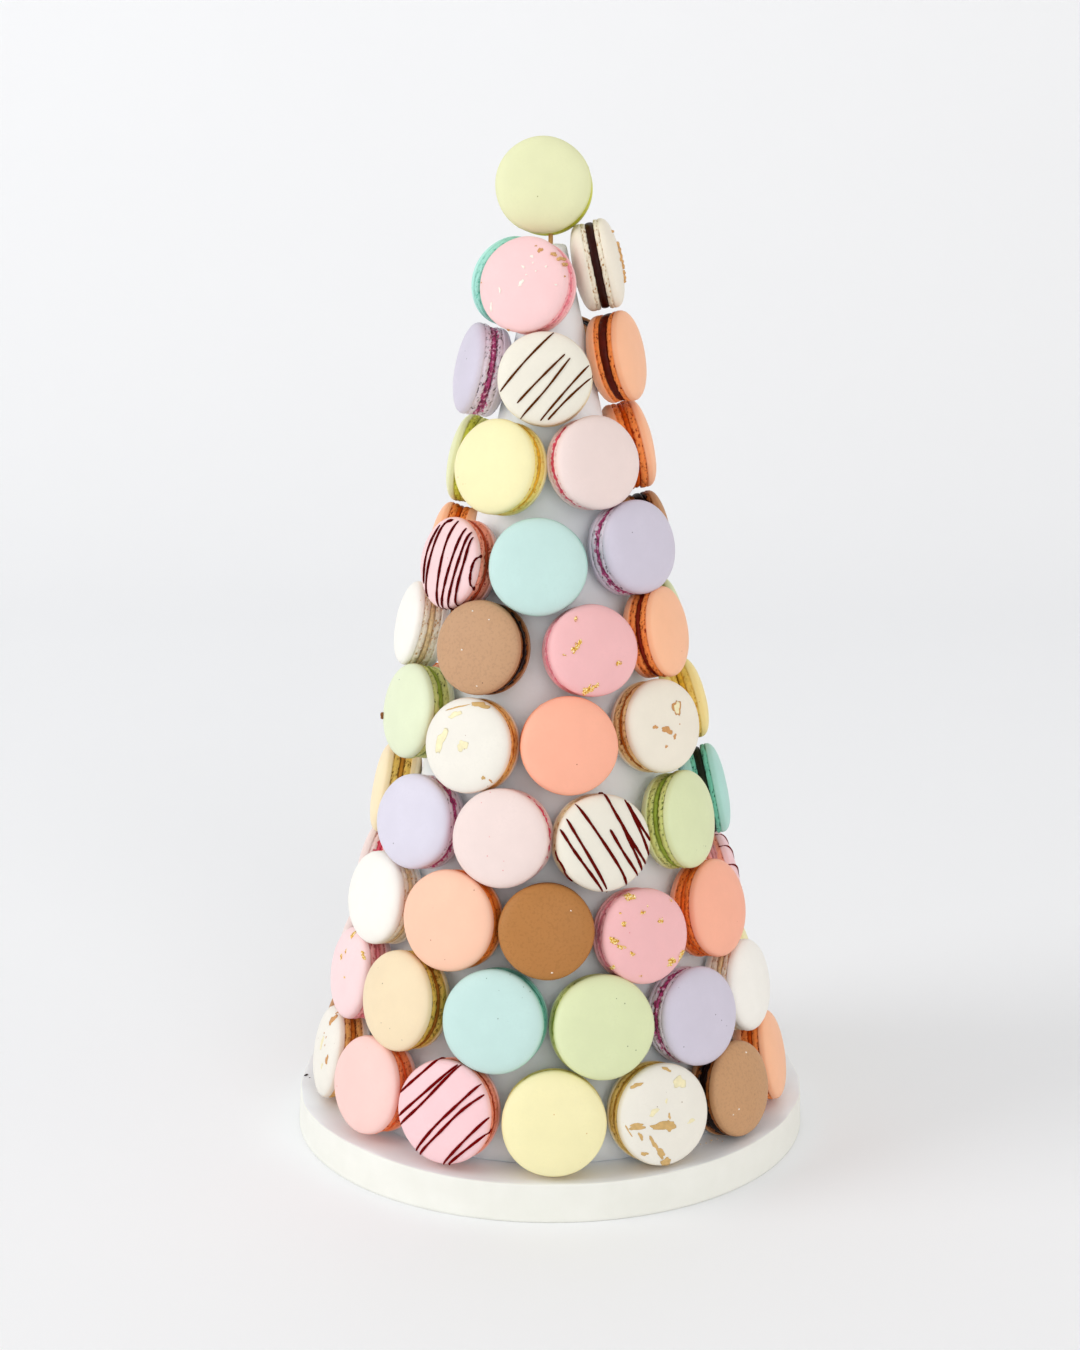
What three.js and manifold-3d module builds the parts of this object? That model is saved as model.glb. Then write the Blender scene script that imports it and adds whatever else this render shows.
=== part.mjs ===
// A macaron tower: a white cone on a round cake board, ringed from foot to tip with macarons
// that lean back against it, and one more macaron standing upright on a wooden pick.
// Millimetres, +Z up, the front faces -Y. The origin is the middle of the board's underside.

import * as THREE from "three";
import { mergeVertices } from "three/addons/utils/BufferGeometryUtils.js";
import Module from "manifold-3d";

// Cake board
const BOARD_DIAMETER = 256;
const BOARD_THICKNESS = 19;
const BOARD_EDGE_ROUND = 1;
const BOARD_SIDES = 40;

// Cone, which stands a little in front of the board's middle
const CONE_BASE_RADIUS = 99;
const CONE_TIP_RADIUS = 7.6;
const CONE_HEIGHT = 418;
const CONE_TIP_ROUND = 1.2;
const CONE_FORWARD = 8.5;
const CONE_SIDES = 28;

// Wooden pick in the tip of the cone
const PICK_DIAMETER = 2.2;
const PICK_LENGTH = 44;
const PICK_SINK = 26;
const PICK_POINT = 3;
const PICK_SIDES = 8;

// Macaron: two domed shells with ruffled feet and a filling between them
const MACARON_THICKNESS = 23;
const RIM_LEVEL = 4.1;
const WAIST_LEVEL = 2.6;
const WAIST_SHARE = 0.93;
const SHOULDER_LEVEL = 9.3;
const SHOULDER_SHARE = 0.74;
const BACK_SHELL_SHARE = 0.97;
const SHOWN_SIDES = 10;
const HIDDEN_SIDES = 8;

// Room between pieces that touch, and how far the hidden macarons of one piece press together
const GAP = 0.3;
const PRESS = 1;

// The rings, from the board up. A shown macaron has its flavour, its bearing round the cone in
// degrees (0 in front, positive to the right), the height of its middle above the board, its
// diameter and, where they aren't 0, how far it is turned to the right of facing straight out
// and how far it stands off the cone.
// A ring's hidden macarons touch in a row round the back: one at the bearing, which stands on
// the row below, and as many before and after it as named. Rows with the same node are joined.
const RINGS = [
  {
    shown: [
      ["white_gold", -79, 24, 46, 6],
      ["salmon", -52, 25.5, 47, 6],
      ["pink_striped", -26, 25.5, 49],
      ["yellow", 1, 24.5, 49],
      ["white_gold", 28, 24, 48],
      ["mocha", 54, 23, 46, -2],
      ["orange", 79, 22.6, 45, -2],
    ],
    hidden: { node: "back_lower", diameter: 45, bearing: 206, before: 3, after: 2 },
  },
  {
    shown: [
      ["pink_gold", -73, 68, 45.5, 7],
      ["tan", -45, 69, 48],
      ["aqua", -15, 69, 49],
      ["pistachio", 14, 66.5, 49, 3],
      ["lavender", 43, 63, 47, -3],
      ["white", 70, 64, 45, -7],
      ["yellow", 112, 57, 45, -12],
    ],
    hidden: { node: "back_lower", diameter: 44, bearing: 206, before: 2, after: 2 },
  },
  {
    shown: [
      ["pale_pink", -108, 109, 44],
      ["white", -65, 109.5, 45.5, 12],
      ["peach", -31, 111, 48, 4],
      ["mocha", -1, 110, 45],
      ["pink_gold", 28, 105, 45],
      ["coral", 59, 107, 47, -3],
      ["pink_striped", 109, 101, 45, -12],
    ],
    hidden: { node: "back_lower", diameter: 44, bearing: 180.5, before: 1, after: 1 },
  },
  {
    shown: [
      ["beige", -99, 151, 46, 12],
      ["lavender", -51, 151, 46, 11],
      ["pale_pink", -16, 151, 46.5],
      ["white_striped", 17, 149, 45.5],
      ["pistachio", 51, 152, 47, 8],
      ["mint", 100, 150, 46, -9],
    ],
    hidden: { node: "back_middle", diameter: 44, bearing: 180, before: 1, after: 1 },
  },
  {
    shown: [
      ["pistachio", -68, 199, 46, 8],
      ["white_gold", -31, 191, 45, 4],
      ["coral", 7, 193, 46],
      ["cream_gold", 46, 197, 45, -6],
      ["yellow", 108, 194.5, 42, -10],
    ],
    hidden: { node: "back_middle", diameter: 43, bearing: 180, before: 1, after: 2 },
  },
  {
    shown: [
      ["white", -87, 237, 42, 11, 3],
      ["mocha", -31, 235, 44.5, 4],
      ["pink_gold", 17.5, 235, 43.5],
      ["orange", 57.5, 238.5, 43.5, 8],
      ["pistachio", 116, 234, 43, -16],
    ],
    hidden: { node: "back_upper", diameter: 43, bearing: 176, before: 0, after: 1 },
  },
  {
    shown: [
      ["orange", -112, 272, 43, 16],
      ["pink_striped", -55, 271, 44, 3],
      ["aqua", -6, 273, 46],
      ["lavender", 49, 279, 45, -8],
      ["mocha", 112, 278, 43, -14],
    ],
    hidden: { node: "back_upper", diameter: 43, bearing: 176, before: 0, after: 0 },
  },
  {
    shown: [
      ["lime", -122, 314, 44, 20, 1],
      ["yellow", -33, 317, 45],
      ["pale_pink", 28, 319, 44],
      ["orange", 113, 322, 44, -17],
    ],
    hidden: { node: "back_upper", diameter: 43, bearing: 176, before: 0, after: 0 },
  },
  {
    shown: [
      ["lavender", -88, 359, 44, 11],
      ["white_striped", -4, 357, 44],
      ["orange", 89, 365.5, 43.5, -16],
      ["mocha", 165, 362, 44],
    ],
  },
  {
    shown: [
      ["pink_gold", -25, 399, 45],
      ["cream_gold", 88, 408, 42.5],
      ["mint", -137, 399, 44, -6],
    ],
  },
];

// The topmost macaron stands on edge over the tip
const TOP_HEIGHT = 444;
const TOP_DIAMETER = 45.6;
const TOP_TURN = -8;
const TOP_TILT = 6;
const TOP_ASIDE = -3;

// Height of the middles of the lowest hidden row
const HIDDEN_ROW_HEIGHT = 24;

const COLOURS = {
  board: 0xf4f2ea,
  cone: 0xf6f4f2,
  wood: 0xd8a765,
  salmon: 0xf7c3b4,
  pink_striped: 0xf6cccd,
  pink_gold: 0xf4c4c4,
  pale_pink: 0xf3ddd6,
  peach: 0xfbc8a8,
  coral: 0xf9ab8e,
  orange: 0xf9ad80,
  yellow: 0xf5ebb4,
  lime: 0xeef0c0,
  tan: 0xf2dfb4,
  beige: 0xf5e2b8,
  pistachio: 0xdbe3b4,
  mint: 0xb4dcd4,
  aqua: 0xc6e7e2,
  lavender: 0xccc4d4,
  mocha: 0xbd8658,
  white: 0xf2efe6,
  white_gold: 0xf3f0e6,
  white_striped: 0xf0ecdf,
  cream_gold: 0xe9e0cc,
};

const wasm = await Module();
wasm.setup();
const tower = new THREE.Group();
const stack = new THREE.Group();
stack.position.set(0, -CONE_FORWARD, BOARD_THICKNESS);
tower.add(stack);

function material(colour, roughness) {
  return new THREE.MeshStandardMaterial({ color: COLOURS[colour], roughness, metalness: 0 });
}

// A closed solid turned about Z from its [radius, height] outline, which runs upwards
function turned(outline, sides) {
  const points = outline.map(([radius, height]) => new THREE.Vector2(radius, height));
  return new THREE.LatheGeometry(points, sides).rotateX(Math.PI / 2);
}

function place(parent, name, geometry, finish) {
  const mesh = new THREE.Mesh(geometry, finish);
  mesh.name = name;
  parent.add(mesh);
  return mesh;
}

// Board

function boardShape() {
  const radius = BOARD_DIAMETER / 2;
  return turned([
    [0, 0],
    [radius - BOARD_EDGE_ROUND, 0],
    [radius, BOARD_EDGE_ROUND],
    [radius, BOARD_THICKNESS - BOARD_EDGE_ROUND],
    [radius - BOARD_EDGE_ROUND, BOARD_THICKNESS],
    [0, BOARD_THICKNESS],
  ], BOARD_SIDES);
}

// Cone, with the hole that the pick stands in

function coneShape() {
  const holeRadius = PICK_DIAMETER / 2 + GAP;
  return turned([
    [0, GAP],
    [CONE_BASE_RADIUS, GAP],
    [CONE_TIP_RADIUS, CONE_HEIGHT - CONE_TIP_ROUND],
    [CONE_TIP_RADIUS - CONE_TIP_ROUND, CONE_HEIGHT],
    [holeRadius, CONE_HEIGHT],
    [holeRadius, CONE_HEIGHT - PICK_SINK - GAP],
    [0, CONE_HEIGHT - PICK_SINK - GAP],
  ], CONE_SIDES);
}

// Pick

function pickShape(growth) {
  const radius = PICK_DIAMETER / 2 + growth;
  return turned([
    [0, -growth],
    [radius, PICK_POINT - growth],
    [radius, PICK_LENGTH - PICK_POINT + growth],
    [0, PICK_LENGTH + growth],
  ], PICK_SIDES);
}

// Macarons

function macaronShape(diameter, sides) {
  const front = diameter / 2;
  const back = front * BACK_SHELL_SHARE;
  const half = MACARON_THICKNESS / 2;
  return turned([
    [0, -half],
    [back * SHOULDER_SHARE, -SHOULDER_LEVEL],
    [back, -RIM_LEVEL],
    [front * WAIST_SHARE, -WAIST_LEVEL],
    [front * WAIST_SHARE, WAIST_LEVEL],
    [front, RIM_LEVEL],
    [front * SHOULDER_SHARE, SHOULDER_LEVEL],
    [0, half],
  ], sides);
}

const SLOPE = Math.atan2(CONE_BASE_RADIUS - CONE_TIP_RADIUS, CONE_HEIGHT);

// How far the middle of a macaron that rests on the cone is from the cone's axis
function reachAt(height) {
  const coneRadius = CONE_BASE_RADIUS - height * Math.tan(SLOPE);
  return coneRadius + (MACARON_THICKNESS / 2 + GAP) / Math.cos(SLOPE);
}

// Where a macaron rests against the cone, with its front shell facing out and slightly up
function restingOnCone({ bearing, height, turn = 0, standOff = 0 }) {
  const angle = THREE.MathUtils.degToRad(bearing);
  const facing = THREE.MathUtils.degToRad(bearing + turn);
  const reach = reachAt(height) + standOff;
  return {
    position: new THREE.Vector3(Math.sin(angle) * reach, -Math.cos(angle) * reach, height),
    quaternion: new THREE.Quaternion().setFromEuler(
      new THREE.Euler(Math.PI / 2 - SLOPE, 0, facing, "ZXY")),
  };
}

function settle(mesh, pose) {
  mesh.position.copy(pose.position);
  mesh.quaternion.copy(pose.quaternion);
}

// Solids for cutting and joining

function toSolid(geometry, matrix) {
  const bare = geometry.clone().applyMatrix4(matrix);
  bare.deleteAttribute("normal");
  bare.deleteAttribute("uv");
  const merged = mergeVertices(bare);
  return new wasm.Manifold(new wasm.Mesh({
    numProp: 3,
    vertProperties: new Float32Array(merged.attributes.position.array),
    triVerts: new Uint32Array(merged.index.array),
  }));
}

function toGeometry(solid) {
  const mesh = solid.getMesh();
  const geometry = new THREE.BufferGeometry();
  geometry.setAttribute("position", new THREE.BufferAttribute(mesh.vertProperties, 3));
  geometry.setIndex(new THREE.BufferAttribute(mesh.triVerts, 1));
  geometry.computeVertexNormals();
  return geometry;
}

function addShownMacarons() {
  RINGS.forEach(({ shown }, level) => {
    shown.forEach(([flavour, bearing, height, diameter, turn, standOff], index) => {
      const name = `ring${level + 1}_${index + 1}_${flavour}`;
      const mesh = place(stack, name, macaronShape(diameter, SHOWN_SIDES), material(flavour, 0.6));
      settle(mesh, restingOnCone({ bearing, height, turn, standOff }));
    });
  });
}

// The angle between the middles of two macarons of a row, whose back rims touch corner to corner
function hiddenStep({ diameter }, height) {
  const rim = diameter / 2 * BACK_SHELL_SHARE - PRESS / 2;
  const rimReach = reachAt(height) - RIM_LEVEL * Math.cos(SLOPE);
  return THREE.MathUtils.radToDeg(2 * Math.atan(rim / rimReach));
}

// How far a hidden row is above the row below: pressed onto it in one piece, or just clear of it
function hiddenRise(row, below) {
  const room = row.node === below.node ? -PRESS : GAP;
  return ((row.diameter + below.diameter) / 2 + room) * Math.cos(SLOPE);
}

function addHiddenMacarons() {
  const joined = {};
  let height = HIDDEN_ROW_HEIGHT;
  let below = null;
  for (const { hidden: row } of RINGS) {
    if (!row) continue;
    if (below) height += hiddenRise(row, below);
    const step = hiddenStep(row, height);
    for (let count = -row.before; count <= row.after; count += 1) {
      const pose = restingOnCone({ bearing: row.bearing + count * step, height });
      const matrix = new THREE.Matrix4().compose(
        pose.position, pose.quaternion, new THREE.Vector3(1, 1, 1));
      const solid = toSolid(macaronShape(row.diameter, HIDDEN_SIDES), matrix);
      joined[row.node] = joined[row.node] ? joined[row.node].add(solid) : solid;
    }
    below = row;
  }
  for (const [name, solid] of Object.entries(joined)) {
    place(stack, name, toGeometry(solid), material("white", 0.6));
  }
}

function addTop() {
  const pick = place(stack, "pick", pickShape(0), material("wood", 0.7));
  pick.position.set(0, 0, CONE_HEIGHT - PICK_SINK);
  pick.updateMatrix();
  const pose = new THREE.Object3D();
  pose.position.set(TOP_ASIDE, 0, TOP_HEIGHT);
  pose.rotation.set(
    Math.PI / 2 - THREE.MathUtils.degToRad(TOP_TILT), 0, THREE.MathUtils.degToRad(TOP_TURN), "ZXY");
  pose.updateMatrix();
  const whole = toSolid(macaronShape(TOP_DIAMETER, SHOWN_SIDES), pose.matrix);
  const hole = toSolid(pickShape(GAP), pick.matrix);
  place(stack, "top_lime", toGeometry(whole.subtract(hole)), material("lime", 0.6));
}

place(tower, "board", boardShape(), material("board", 0.5));
place(stack, "cone", coneShape(), material("cone", 0.6));
addShownMacarons();
addHiddenMacarons();
addTop();

export default tower;
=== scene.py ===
"""Looks for the macaron tower: every macaron as shells with ruffled feet and a filling, with its
chocolate drizzle, gold leaf and sugar, on a smooth foam cone and a covered cake board.

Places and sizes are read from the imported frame. Lengths are metres, +Z is up, the front is -Y.
"""

import math
import re
from collections import defaultdict, namedtuple
from functools import cache

import bpy
import numpy as np
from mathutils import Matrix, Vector, noise


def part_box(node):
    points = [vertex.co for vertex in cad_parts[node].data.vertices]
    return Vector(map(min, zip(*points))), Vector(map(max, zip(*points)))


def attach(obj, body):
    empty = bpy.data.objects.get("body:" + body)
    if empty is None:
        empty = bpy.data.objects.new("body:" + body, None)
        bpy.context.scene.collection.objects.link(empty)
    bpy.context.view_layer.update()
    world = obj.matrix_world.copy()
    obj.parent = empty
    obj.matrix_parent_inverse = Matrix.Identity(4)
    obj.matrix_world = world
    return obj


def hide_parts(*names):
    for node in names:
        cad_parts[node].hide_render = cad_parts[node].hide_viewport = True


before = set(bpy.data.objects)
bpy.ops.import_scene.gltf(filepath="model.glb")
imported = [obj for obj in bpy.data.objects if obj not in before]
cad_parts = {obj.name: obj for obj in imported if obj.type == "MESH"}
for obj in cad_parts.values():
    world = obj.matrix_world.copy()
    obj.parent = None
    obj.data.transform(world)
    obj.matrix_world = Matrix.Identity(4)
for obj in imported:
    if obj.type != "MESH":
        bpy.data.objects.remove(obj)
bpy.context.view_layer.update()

MM = 0.001
UP = np.array([0.0, 0.0, 1.0])
outer = np.multiply.outer

# Section of a macaron, in millimetres from its middle plane
RIM_LEVEL = 4.9
APEX_LEVEL = 11.5
# Exponents for the dome: the first fills its shoulder, the second flattens its middle
DOME_ROUND = 0.88
DOME_FLAT = 0.80
DOME_SIDES = 72
DOME_STEPS = 11
# Small dents all over a shell, how wide they are as a share of its radius, and how late they fade
DENT_DEPTH = 0.12
DENT_GRAIN = 0.45
DENT_FADE = 6
# Past this share of its radius, a shell takes some of the foot's colour
RIM_SHARE = 0.985
RIM_TINT = 0.2

# Outline below the rim: share of the shell's radius, height in millimetres
LIP = [(0.999, 4.7), (0.992, 4.4)]
# How much more of the foot's colour each ring of the lip takes
LIP_TINT = 0.3
# The foot: share of the radius, share of the way up to the lip, how readily it is pitted
FOOT = [
    (0.978, 0.90, 0.58),
    (0.987, 0.76, 0.3),
    (0.991, 0.60, 0.12),
    (0.990, 0.42, 0.1),
    (0.984, 0.24, 0.2),
    (0.968, 0.06, 0.5),
]
FOOT_SIDES = 144
# Ruffles of the foot, in millimetres
FOLD_DEPTH = 0.45
FOLD_GRAIN = 2.2
# Pits of the foot: depth, width and height in millimetres, the noise at which one starts, the span over
# which it deepens, the weight of a ring's readiness, and a factor that parts the pits from the ruffles
PIT_DEPTH = 0.75
PIT_GRAIN = 1.35
PIT_RISE = 0.6
PIT_START = 0.3
PIT_SPAN = 0.28
PIT_READY = 0.5
PIT_SEED = 1.7
# Underside: shares of the radius, how far it is pressed into the filling, and how much painted shade in the
# pit colour it takes
UNDERSIDE = [0.90, 0.45]
UNDERSIDE_SINK = 0.05
UNDERSIDE_PAINTED_SHADE = 0.4
# How far up the filling's colour creeps, and over what height it fades
STAIN_TOP = 2.2
STAIN_FADE = 1.8

# How a shell differs from a true disc: depth, waves round it, and shift of each swell
OVAL_WAVES = [(0.004, 3, 5), (0.003, 5, 9)]
OVAL_MARGIN = 0.006
STRETCH_LIMIT = 0.008
# How far a shell sits askew, in degrees and millimetres, and the share of the full radius it takes
TILT_LIMIT = 1.2
SHIFT_LIMIT = 0.25
FRONT_SHARE = 0.99
BACK_SHARE = 0.97
# Below the rim, a line that runs over the edge first drops this far, then draws in by this share
EDGE_DROP = 1.0
EDGE_DRAW = 0.3
# Seeds: the first shell's, then the steps in the noise between macarons and from front to back
SHELL_SEED = 1000
NOISE_STEP = 7.31
NOISE_BACK = 3.7

# Half the thickness of each filling, in millimetres
FILLING_HALF = {"chocolate": 1.9, "fruit": 1.1, "cream": 1.1, "caramel": 1.0, "pink": 1.0}
# Outline of a filling: share of the macaron's radius, share of the half thickness
FILLING_CORE = 0.5
FILLING_OUTLINE = [
    (FILLING_CORE, 1.0), (0.925, 1.0), (0.948, 0.6), (0.955, 0.0),
    (0.948, -0.6), (0.925, -1.0), (FILLING_CORE, -1.0),
]
FILLING_SIDES = 72
BULGE_DEPTH = 0.014
BULGE_WAVES = 3.1
BULGE_STEP = 2.9

# Drizzle: steps between two given points, sides, how far its middle lies over the shell in millimetres,
# then as shares of its width: usual width, depth and pace of its swells, half its height, tail and ends
DRIZZLE_STEPS = 14
DRIZZLE_SIDES = 8
DRIZZLE_LIFT = 0.12
DRIZZLE_WIDTH = 0.86
DRIZZLE_SWELLS = [(0.12, 0.45), (0.05, 1.3)]
DRIZZLE_PHASE_LIMIT = 6
DRIZZLE_HEIGHT = 0.34
DRIZZLE_TAIL = 0.3
DRIZZLE_ENDS = [0.72, 0.95]
DRIZZLE_SEED = 40

# Flecks: share of the outline, share of the thickness; then depth and number of lobes round them
FLAKE_SECTION = [(0.45, 1.0), (0.85, 0.9), (1.0, 0.45), (0.97, -0.6)]
FLAKE_LOBES = [(0.10, 2), (0.16, 3), (0.12, 5), (0.08, 7)]
FLAKE_SIDES = 18
FLAKE_ROOT = -0.3
CRUMPLE_WAVES = 28
CRUMPLE_LEVEL = 1.7
FLAKE_SEED = 3
FLAKE_SEED_STEP = 7

# Grains: share of the outline and of the height; then how deep each kind lies, in millimetres, and its
# height as a share of its width
GRAIN_SECTION = [(0.6, 0.9), (1.0, 0.5), (0.8, 0.0)]
GRAIN_SIDES = 10
GRAIN_ROUGHNESS = 0.15
SUGAR_SINK, SUGAR_HEIGHT = 0.1, 0.8
CRUMB_SINK, CRUMB_HEIGHT = 0.3, 0.7

# The ring round a macaron's tip in the frame: least number of points, then least reach and greatest
# unevenness in millimetres
TIP_NEIGHBOURS = 8
TIP_REACH = 8
TIP_UNEVENNESS = 0.02

# Cake board, in millimetres: the top is level up to BOARD_EVEN from the edge, and turns at BOARD_TURN
BOARD_SIDES = 256
BOARD_MARGIN = 0.02
BOARD_EVEN = 6
BOARD_TURN = 1.2
BOARD_DIP = 0.1
# Shares of the radius at which rings lie on the level top and on the underside
BOARD_LEVEL_RINGS = (0.5, 0.86)
BOARD_UNDER_RING = 0.5
# How far the cover is drawn in and sunk at the top edge: even part, slow wave and ripple
BOARD_DRAWN = (0.9, 1.5, 0.9)
BOARD_LEAST_DRAWN = 0.1
BOARD_SUNK = (0.25, 0.6)
BOARD_WAVES = 2.2
BOARD_RIPPLES = 7
BOARD_SEEDS = (5.0, 9.0)
# The rounded top edge: how far in and how far down
BOARD_EDGE = [(0.5, 0.12), (0.22, 0.22), (0.05, 0.45), (0.0, 0.8)]
BOARD_SIDE_SHARES = [0.35, 0.7, 1.0]
BOARD_HEM = 2.8
BOARD_FOOT = (0.5, 0.6)
# Rings that count as the top, from the middle outward
BOARD_TOP_RINGS = 5

# Cone, in millimetres: the softened edge of its tip as in and down, then the edge of its foot
CONE_TIP = [(2.2, 0.0), (0.8, 0.4)]
CONE_SHOULDER = 1.6
CONE_TIP_BAND = 1.5
CONE_FOOT_IN = 0.8
CONE_FOOT_UP = 0.6
CONE_STEPS = 40
CONE_SIDES = 160

# Pick: length of its points in millimetres
PICK_POINT = 3
PICK_SIDES = 24

# Floor and backdrop, in metres
FLOOR_FRONT = -4.0
FLOOR_BEND = 1.4
FLOOR_HALF_WIDTH = 5.0
BEND_RADIUS = 1.2
BEND_START = 0.1
BEND_STEPS = 16
WALL_TOP = 5.0

# Camera: metres, degrees, and millimetres for its lens and sensor
CAMERA_DISTANCE = 1.033
CAMERA_HEIGHT = 0.4482
CAMERA_PITCH = 12.0
CAMERA_TURN = 0.28
CAMERA_LENS = 57.17
CAMERA_SENSOR = 36

# Each flavour: finish, colours of shell, foot and pits, filling and the filling's colour; the pits' colour is
# painted shade for the foot's recesses
Flavour = namedtuple("Flavour", "finish shell foot pit filling inside")
FLAVOURS = {
    "salmon": ("salmon", "fbd1ca", "ff8e58", "b0300a", "caramel", "f8662a"),
    "pink_striped": ("pink", "fad0d4", "ff9c82", "ac2c14", "caramel", "bc4424"),
    "pink_gold": ("rose", "f4bdbe", "fcb2b6", "d83850", "pink", "f48c98"),
    "pale_pink": ("blush", "f0ddd8", "fbdad6", "dc4058", "pink", "e8546a"),
    "peach": ("peach", "fdcaaf", "ff8836", "8c2804", "caramel", "f06a18"),
    "coral": ("coral", "feb69b", "ff8238", "a02804", "caramel", "f46a1e"),
    "orange": ("orange", "ffc29c", "ff9248", "982604", "caramel", "dc5a0c"),
    "yellow": ("yellow", "f6eebc", "f8e27c", "cc9420", "cream", "ecb434"),
    "lime": ("lime", "e6e8bc", "d0d244", "787804", "cream", "e0e070"),
    "tan": ("tan", "f1ddba", "dcb450", "503004", "caramel", "9c5c10"),
    "beige": ("beige", "fae7c1", "f4cc68", "8c5c08", "caramel", "d09030"),
    "pistachio": ("pistachio", "dfe7ba", "d8de86", "3c5404", "cream", "94a83c"),
    "mint": ("mint", "b4dfd6", "74c8ac", "08483c", "chocolate", "1c2418"),
    "aqua": ("aqua", "c6e3de", "7cccb8", "085c48", "cream", "4c9880"),
    "lavender": ("lavender", "d3cddc", "eadeec", "24082c", "fruit", "c04c84"),
    "mocha": ("mocha", "bf8d62", "8a4e1c", "180602", "chocolate", "180602"),
    "white": ("white", "f8f5ee", "fff4dc", "d49c50", "cream", "f8dca8"),
    "white_gold": ("ivory", "f0ece2", "f6bc6c", "8c3808", "caramel", "d47c28"),
    "white_striped": ("ivory", "ede8da", "f2deb0", "a46414", "cream", "e0ac58"),
    "cream_gold": ("cream", "f1e9d9", "f0cc8c", "7c3808", "caramel", "b86c20"),
}
# Macarons that differ from others of their flavour
CHANGES = {
    "ring1_5_white_gold": {"shell": "efebe0", "foot": "e8c470", "pit": "80540c", "inside": "c49038"},
    "ring1_6_mocha": {"shell": "c89a70"},
    # Painted light: a lighter copy of the pink_gold shell, for a shell that faces the key lamp
    "ring2_1_pink_gold": {"shell": "f9dadb"},
    "ring3_4_mocha": {"shell": "b67c43"},
    "ring3_7_pink_striped": {"filling": "pink", "inside": "f0a0a0"},
    "ring4_2_lavender": {"shell": "dcd8e6"},
    "ring5_1_pistachio": {"shell": "e4eccc"},
    "ring5_5_yellow": {"shell": "f7e19c", "foot": "f0c860"},
    "ring6_2_mocha": {"shell": "c69c78"},
    "ring6_4_orange": {"inside": "7c1c04"},
    "ring7_2_pink_striped": {"shell": "f8d3d4"},
    "ring9_3_orange": {"filling": "chocolate", "inside": "5a1606"},
    # Painted light: a lighter copy of the pink_gold shell, for a shell that faces the key lamp
    "ring10_1_pink_gold": {"shell": "f8cfcf"},
    "ring10_2_cream_gold": {"foot": "f4ead2", "pit": "bc7c20", "filling": "chocolate", "inside": "300a04"},
    "ring10_3_mint": {
        "shell": "b8ebe0", "foot": "a8e6d6", "pit": "50b8a0", "filling": "cream", "inside": "80ccb8",
    },
}
# How far a filling stains the foot: by filling, for all others, and on a mocha shell
STAIN_SPREAD = {"fruit": 0.34, "pink": 0.45, "chocolate": 0.0}
USUAL_SPREAD = 0.25
MOCHA_SPREAD = 0.42

# Chocolate lines on a shell, as points in shares of its radius, to the right and up
DRIZZLES = {
    "ring1_3_pink_striped": [
        [(-0.98, 0.18), (-0.50, 0.66), (-0.15, 1.05)],
        [(-0.95, -0.26), (-0.38, 0.30), (0.22, 0.94)],
        [(-0.90, -0.42), (-0.36, 0.14), (0.28, 0.95)],
        [(-0.50, -0.84), (-0.05, -0.26), (0.42, 0.28), (0.74, 0.66)],
        [(-0.42, -0.90), (0.06, -0.35), (0.46, 0.12), (0.84, 0.48)],
        [(0.11, -0.98), (0.50, -0.51), (0.98, 0.07)],
        [(0.20, -0.98), (0.65, -0.55), (1.03, -0.17)],
    ],
    "ring4_4_white_striped": [
        [(-1.05, -0.10), (-0.90, -0.41), (-0.73, -0.80)],
        [(-0.91, 0.34), (-0.72, -0.04), (-0.45, -0.47), (-0.10, -0.98)],
        [(-0.77, 0.54), (-0.57, 0.11), (0.01, -1.0)],
        [(-0.55, 0.83), (-0.29, 0.39), (0.25, -0.53), (0.42, -0.90)],
        [(0.00, 1.06), (0.07, 0.98), (0.25, 0.55), (0.59, -0.09), (0.85, -0.50)],
        [(0.33, 0.38), (0.54, -0.13), (0.77, -0.63)],
        [(0.09, 0.26), (0.34, -0.22), (0.67, -0.73)],
        [(0.49, 0.83), (0.77, 0.11), (0.93, -0.33)],
        [(0.53, 0.77), (0.75, 0.32), (0.97, -0.03)],
    ],
    "ring7_2_pink_striped": [
        [(-0.37, 0.75), (-0.58, 0.12), (-0.58, -0.53)],
        [(0.00, 0.92), (-0.22, 0.76), (-0.39, 0.07), (-0.46, -0.59), (-0.43, -0.80)],
        [(0.19, 0.91), (0.07, 0.34), (0.00, -0.50), (-0.04, -1.0)],
        [(0.50, 0.79), (0.40, 0.21), (0.23, -0.54), (0.08, -1.0)],
        [(0.65, 0.73), (0.59, 0.13), (0.43, -0.56), (0.24, -1.04)],
        [(0.74, 0.63), (0.74, 0.10), (0.61, -0.53), (0.50, -0.89)],
        [(0.98, 0.29), (0.94, 0.12), (0.92, -0.12), (0.91, -0.34), (0.92, -0.48)],
    ],
    "ring9_2_white_striped": [
        [(0.19, 0.94), (-0.38, 0.33), (-0.91, -0.29)],
        [(-0.54, -0.54), (-0.06, -0.04), (0.44, 0.47)],
        [(0.55, 0.39), (0.05, -0.28), (-0.48, -0.86)],
        [(-0.05, -0.90), (0.48, -0.28), (0.94, 0.26)],
        [(0.11, -0.88), (0.54, -0.43), (1.06, 0.07)],
    ],
    "ring3_7_pink_striped": [
        [(-0.95, 0.5), (-0.30, 0.02), (0.25, -0.70)],
        [(-0.60, 0.85), (0.05, 0.20), (0.55, -0.65)],
        [(-0.20, 1.0), (0.35, 0.35), (0.80, -0.35)],
        [(-1.05, 0.1), (-0.55, -0.35), (-0.10, -0.95)],
    ],
}
# Width of the lines in millimetres, and their colour
DRIZZLE_LOOK = {
    "ring1_3_pink_striped": (1.55, "740404"),
    "ring3_7_pink_striped": (1.4, "740404"),
    "ring4_4_white_striped": (1.6, "640c06"),
    "ring7_2_pink_striped": (1.8, "560202"),
    "ring9_2_white_striped": (1.15, "5c2c0a"),
}

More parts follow.
